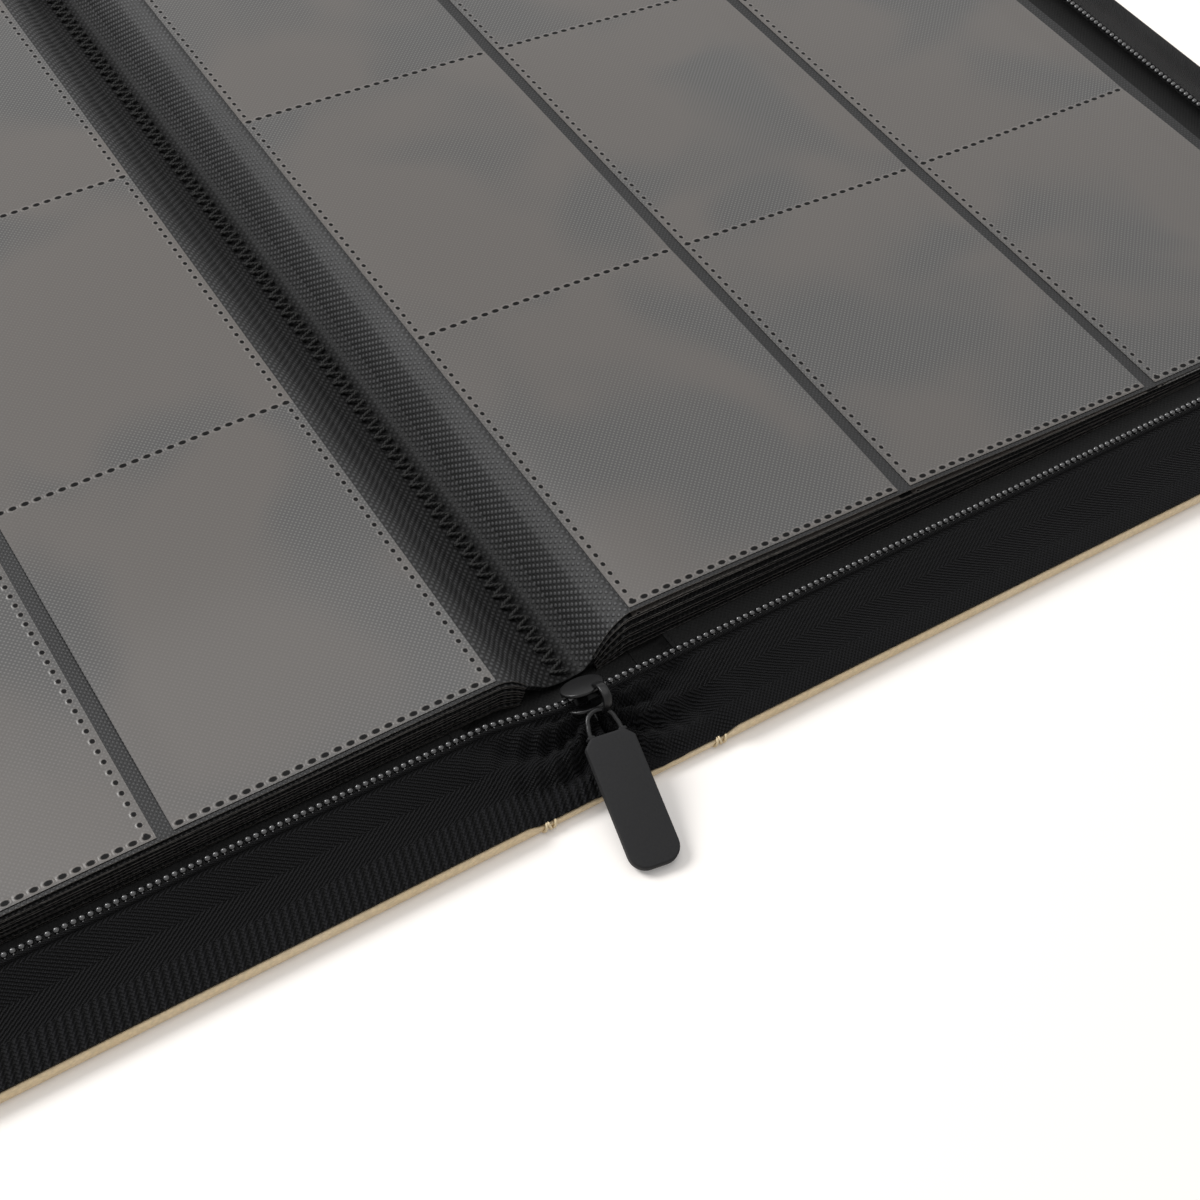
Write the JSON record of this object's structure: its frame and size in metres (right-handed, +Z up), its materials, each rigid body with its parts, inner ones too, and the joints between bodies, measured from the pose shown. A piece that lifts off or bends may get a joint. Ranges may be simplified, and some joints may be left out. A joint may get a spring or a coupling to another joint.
{
  "type": "trading card binder",
  "caption": "Zip-up side-loading binder for trading cards, lying open at its centre spread, with pocket pages, hinged covers and a zip slider with a pull.",
  "frame": {"origin": "on the table, under the middle of the spine", "axes": "+X across the open covers to the back cover, +Y along the spine to its head, +Z up from the table"},
  "size_m": [0.554, 0.3635, 0.0175],
  "materials": {
    "leathercloth": "fine grain",
    "board": "grey pulp board",
    "lining": "woven",
    "page_backing": "embossed film",
    "pocket_film": "clear embossed film",
    "thread": "twisted polyester",
    "zip_tape": "herringbone woven",
    "zip_coil": "nylon",
    "painted_zinc": "satin black",
    "moulded_tab": "fine matte"
  },
  "bodies": {
    "spine": {"spine_skin": "leathercloth", "spine_lining": "lining", "sewn_fold": "page_backing", "fold_thread": "thread", "head_stop": "painted_zinc", "coil_end_left_foot": "zip_coil", "coil_end_left_head": "zip_coil", "coil_end_right_foot": "zip_coil", "coil_end_right_head": "zip_coil", "tape_end_left_foot": "zip_tape", "tape_end_left_head": "zip_tape", "tape_end_right_foot": "zip_tape", "tape_end_right_head": "zip_tape"},
    "front_cover": {"coil_left": "zip_coil", "front_cover_board": "board", "front_cover_lining": "lining", "front_cover_skin": "leathercloth", "tape_left_foot": "zip_tape", "tape_left_fore": "zip_tape", "tape_left_head": "zip_tape"},
    "back_cover": {"back_cover_board": "board", "back_cover_lining": "lining", "back_cover_skin": "leathercloth", "coil_right": "zip_coil", "tape_right_foot": "zip_tape", "tape_right_fore": "zip_tape", "tape_right_head": "zip_tape"},
    "left_leaves": {"film_left_1": "pocket_film", "film_left_2": "pocket_film", "film_left_3": "pocket_film", "leaf_left_01": "page_backing", "leaf_left_02": "page_backing", "leaf_left_03": "page_backing", "leaf_left_04": "page_backing", "leaf_left_05": "page_backing", "leaf_left_06": "page_backing", "leaf_left_07": "page_backing", "leaf_left_08": "page_backing", "leaf_left_09": "page_backing", "leaf_left_10": "page_backing"},
    "right_leaves": {"leaf_right_01": "page_backing", "leaf_right_02": "page_backing", "leaf_right_03": "page_backing", "leaf_right_04": "page_backing", "leaf_right_05": "page_backing", "leaf_right_06": "page_backing", "leaf_right_07": "page_backing", "leaf_right_08": "page_backing", "leaf_right_09": "page_backing"},
    "turning_margin": {"leaf_right_10_margin": "page_backing"},
    "turning_leaf": {"leaf_right_10": "page_backing", "film_right_1": "pocket_film", "film_right_2": "pocket_film", "film_right_3": "pocket_film"},
    "slider": {"slider_body": "painted_zinc"},
    "pull": {"pull_loop": "painted_zinc", "pull_tab": "moulded_tab"}
  },
  "joints": [
    {"name": "front_cover_fold", "type": "hinge", "parent": "spine", "child": "front_cover", "pos_m": [-0.0215, 0, 0.00035], "axis": [0, 1, 0], "range_deg": [0, 90], "deforming": ["coil_end_left_foot", "coil_end_left_head", "tape_end_left_foot", "tape_end_left_head"]},
    {"name": "back_cover_fold", "type": "hinge", "parent": "spine", "child": "back_cover", "pos_m": [0.0215, 0, 0.00035], "axis": [0, -1, 0], "range_deg": [0, 90], "deforming": ["coil_end_right_foot", "coil_end_right_head", "tape_end_right_foot", "tape_end_right_head"]},
    {"name": "left_leaves_rise", "type": "hinge", "parent": "spine", "child": "left_leaves", "pos_m": [-0.0094, 0, 0.0086], "axis": [0, 1, 0], "range_deg": [0, 90]},
    {"name": "right_leaves_rise", "type": "hinge", "parent": "spine", "child": "right_leaves", "pos_m": [0.0068, 0, 0.0069], "axis": [0, -1, 0], "range_deg": [0, 90]},
    {"name": "page_turn", "type": "hinge", "parent": "right_leaves", "child": "turning_leaf", "pos_m": [0.00579, 0, 0.01604], "axis": [0, 1, 0], "range_deg": [-182.1, 0]},
    {"name": "margin_swing", "type": "hinge", "parent": "right_leaves", "child": "turning_margin", "pos_m": [0.0068, 0, 0.0069], "axis": [0, 1, 0], "range_deg": [-98.5, 0]},
    {"name": "slider_run", "type": "slide", "parent": "spine", "child": "slider", "axis": [-1, 0, 0], "range_m": [-0.22, 0]},
    {"name": "pull_swing", "type": "hinge", "parent": "slider", "child": "pull", "pos_m": [-0.001, -0.15447, 0.01256], "axis": [0.9877, -0.1564, 0], "range_deg": [-105, 0]}
  ],
  "couplings": [
    {"joint": "left_leaves_rise", "follows": "front_cover_fold", "ratio": 1},
    {"joint": "right_leaves_rise", "follows": "back_cover_fold", "ratio": 1},
    {"joint": "margin_swing", "follows": "page_turn", "ratio": 0.5409}
  ]
}
